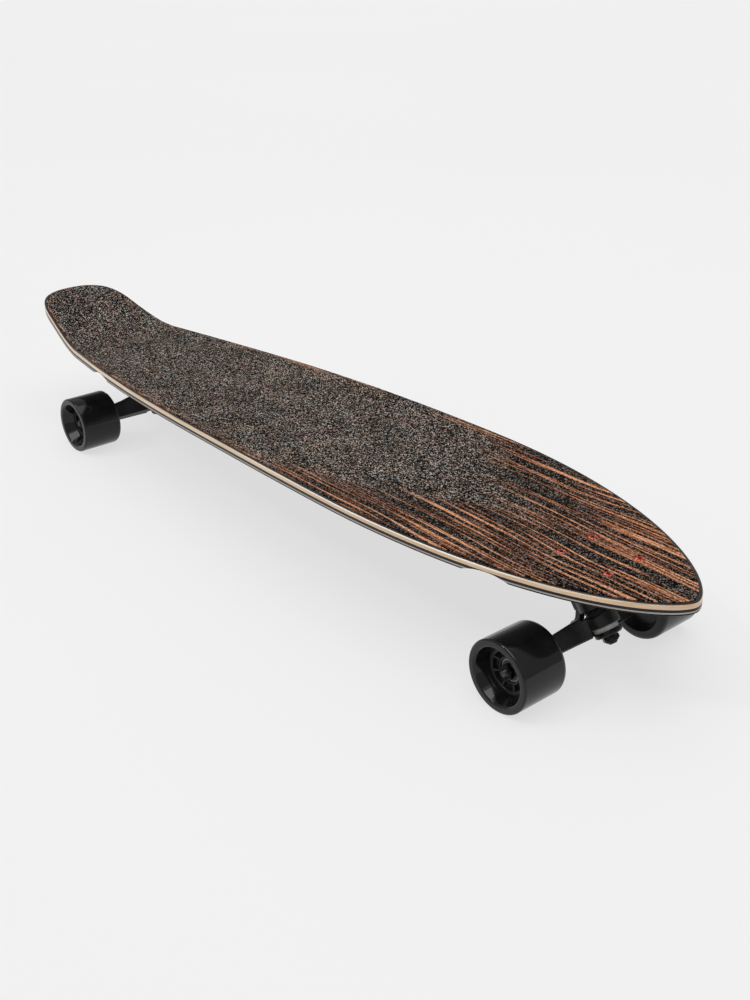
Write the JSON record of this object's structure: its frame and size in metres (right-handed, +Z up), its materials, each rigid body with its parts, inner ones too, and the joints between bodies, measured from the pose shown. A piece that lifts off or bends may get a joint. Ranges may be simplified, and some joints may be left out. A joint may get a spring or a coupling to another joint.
{
  "type": "longboard skateboard",
  "caption": "Kicktail longboard with a laminated concave deck, clear grit top, reverse-kingpin steering trucks and soft urethane wheels on ball bearings.",
  "frame": {"origin": "on the ground plane under the middle of the deck's length, on the board's centre plane", "axes": "+X towards the nose, +Y to the rider's left, +Z up"},
  "size_m": [1.0984, 0.236, 0.1532],
  "materials": {
    "deck_ply": "dark veneer faces, light and dark plies in the edge",
    "grit_top": "clear grit over dark streaked veneer",
    "riser_rubber": "matt",
    "truck_black": "satin black",
    "steel": "blackened, satin",
    "black_steel": "black zinc",
    "red_bolt": "red anodised",
    "bushing": "glossy light grey urethane",
    "bushing_black": "satin black urethane",
    "cup_rubber": "satin",
    "urethane": "glossy black urethane",
    "core_plastic": "semi-gloss moulded core",
    "bearing_steel": "dark ground steel with black shields"
  },
  "bodies": {
    "deck": {"deck": "deck_ply", "grip_tape": "grit_top", "riser_front": "riser_rubber", "baseplate_front": "truck_black", "pivot_cup_front": "cup_rubber", "kingpin_front": "black_steel", "kingpin_nut_front": "black_steel", "bushing_board_front": "bushing_black", "bushing_road_front": "bushing", "washer_board_front": "black_steel", "washer_road_front": "black_steel", "bolt_front_1": "red_bolt", "bolt_nut_front_1": "black_steel", "bolt_front_2": "red_bolt", "bolt_nut_front_2": "black_steel", "bolt_front_3": "red_bolt", "bolt_nut_front_3": "black_steel", "bolt_front_4": "red_bolt", "bolt_nut_front_4": "black_steel", "riser_rear": "riser_rubber", "baseplate_rear": "truck_black", "pivot_cup_rear": "cup_rubber", "kingpin_rear": "black_steel", "kingpin_nut_rear": "black_steel", "bushing_board_rear": "bushing_black", "bushing_road_rear": "bushing", "washer_board_rear": "black_steel", "washer_road_rear": "black_steel", "bolt_rear_1": "black_steel", "bolt_nut_rear_1": "black_steel", "bolt_rear_2": "black_steel", "bolt_nut_rear_2": "black_steel", "bolt_rear_3": "black_steel", "bolt_nut_rear_3": "black_steel", "bolt_rear_4": "black_steel", "bolt_nut_rear_4": "black_steel"},
    "front_hanger": {"hanger_front": "truck_black", "axle_front": "steel", "axle_nut_front_left": "steel", "axle_nut_front_right": "steel"},
    "front_left_wheel": {"tyre_front_left": "urethane", "wheel_core_front_left": "core_plastic", "bearing_inner_front_left": "bearing_steel", "bearing_outer_front_left": "bearing_steel"},
    "front_right_wheel": {"tyre_front_right": "urethane", "wheel_core_front_right": "core_plastic", "bearing_inner_front_right": "bearing_steel", "bearing_outer_front_right": "bearing_steel"},
    "rear_hanger": {"hanger_rear": "truck_black", "axle_rear": "steel", "axle_nut_rear_left": "steel", "axle_nut_rear_right": "steel"},
    "rear_left_wheel": {"tyre_rear_left": "urethane", "wheel_core_rear_left": "core_plastic", "bearing_inner_rear_left": "bearing_steel", "bearing_outer_rear_left": "bearing_steel"},
    "rear_right_wheel": {"tyre_rear_right": "urethane", "wheel_core_rear_right": "core_plastic", "bearing_inner_rear_right": "bearing_steel", "bearing_outer_rear_right": "bearing_steel"}
  },
  "joints": [
    {"name": "front_steer", "type": "hinge", "parent": "deck", "child": "front_hanger", "pos_m": [0.43403, 0, 0.03798], "axis": [0.8271, 0, 0.5621], "range_deg": [-15, 15], "stiffness_Nm_per_rad": 60, "deforming": ["bushing_board_front", "bushing_road_front"]},
    {"name": "front_left_spin", "type": "hinge", "parent": "front_hanger", "child": "front_left_wheel", "pos_m": [0.43605, 0, 0.035], "axis": [0, 1, 0], "continuous": true},
    {"name": "front_right_spin", "type": "hinge", "parent": "front_hanger", "child": "front_right_wheel", "pos_m": [0.43605, 0, 0.035], "axis": [0, 1, 0], "continuous": true},
    {"name": "rear_steer", "type": "hinge", "parent": "deck", "child": "rear_hanger", "pos_m": [-0.33763, 0, 0.03798], "axis": [-0.8271, 0, 0.5621], "range_deg": [-15, 15], "stiffness_Nm_per_rad": 60, "deforming": ["bushing_board_rear", "bushing_road_rear"]},
    {"name": "rear_left_spin", "type": "hinge", "parent": "rear_hanger", "child": "rear_left_wheel", "pos_m": [-0.33965, 0, 0.035], "axis": [0, 1, 0], "continuous": true},
    {"name": "rear_right_spin", "type": "hinge", "parent": "rear_hanger", "child": "rear_right_wheel", "pos_m": [-0.33965, 0, 0.035], "axis": [0, 1, 0], "continuous": true}
  ]
}
